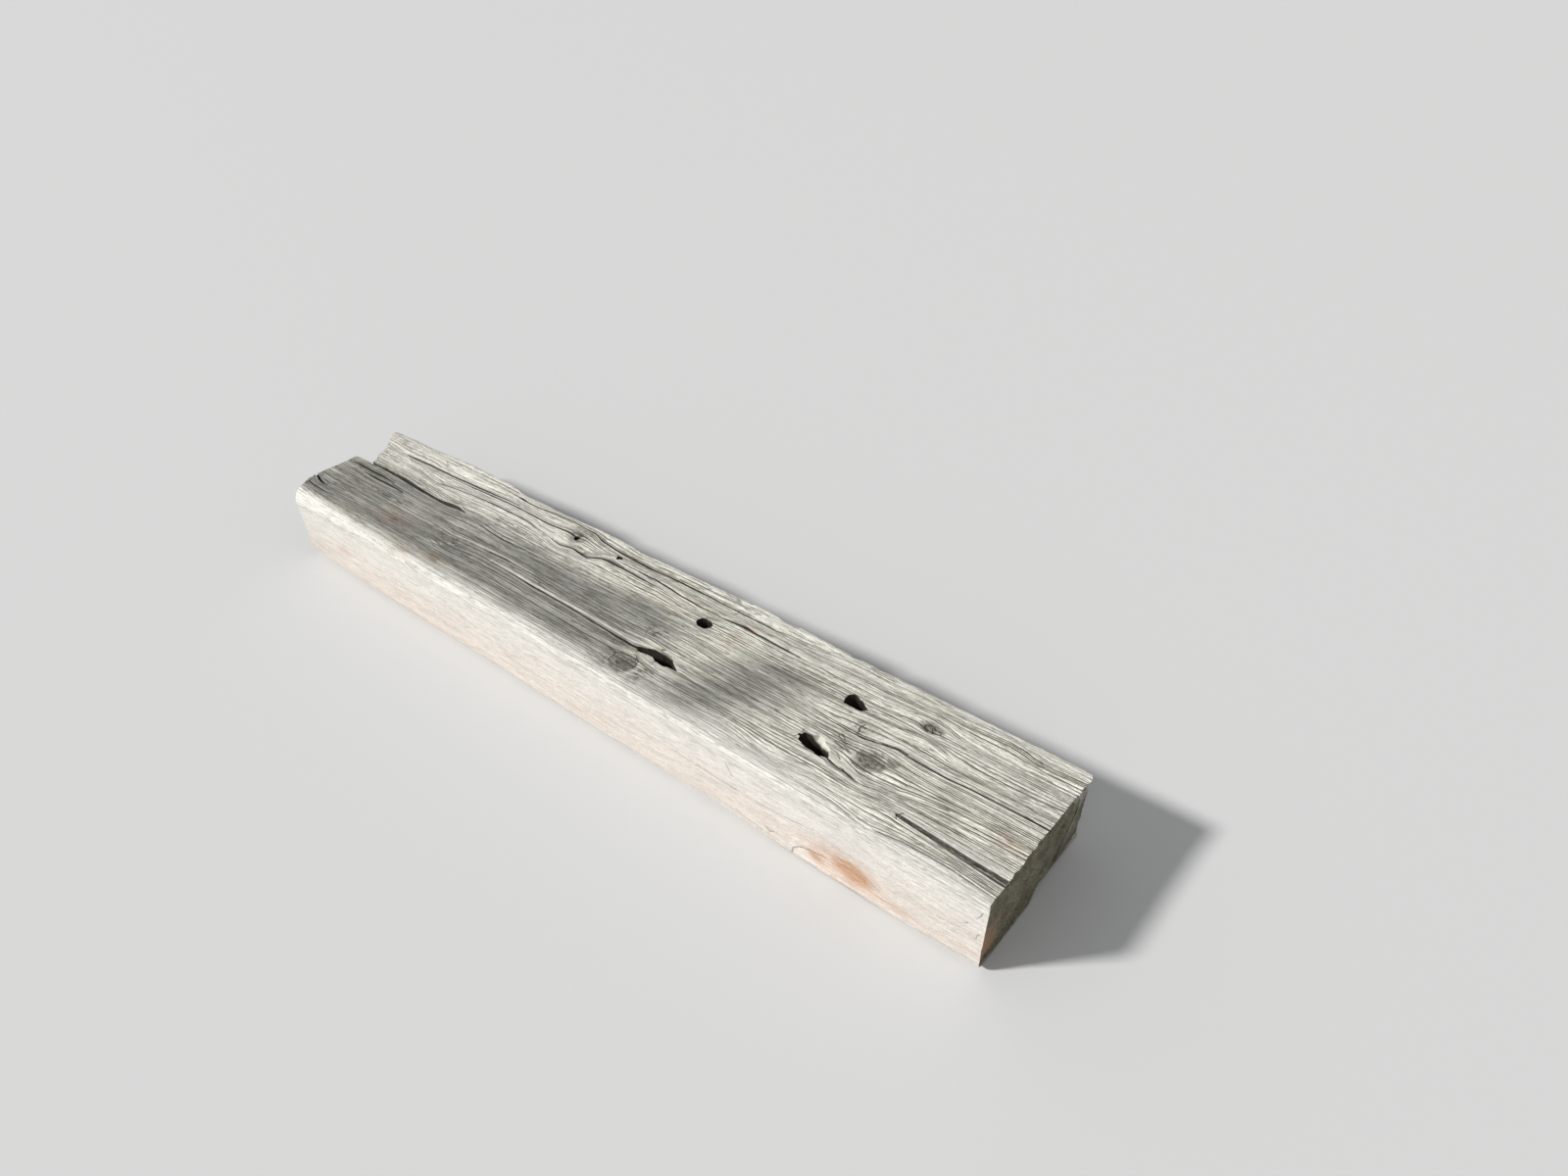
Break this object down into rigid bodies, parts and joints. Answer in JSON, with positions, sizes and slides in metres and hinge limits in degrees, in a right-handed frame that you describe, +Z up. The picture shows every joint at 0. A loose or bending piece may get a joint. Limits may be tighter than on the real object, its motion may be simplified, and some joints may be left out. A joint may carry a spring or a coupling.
{
  "type": "railway sleeper",
  "caption": "Short length of weathered softwood railway sleeper: a heavy rectangular beam with bored screw holes for a rail baseplate, drying checks and one split end.",
  "frame": {"origin": "centre of the bounding box at the underside, on the floor that the sleeper lies on", "axes": "+X along the timber towards its sound end, +Y across it towards the back face, +Z up from the underside"},
  "size_m": [1.53, 0.26, 0.145],
  "materials": {
    "weathered_timber": "silver-grey weathered softwood with raised grain, dry and matt"
  },
  "bodies": {
    "root": {"sleeper": "weathered_timber"}
  },
  "joints": []
}
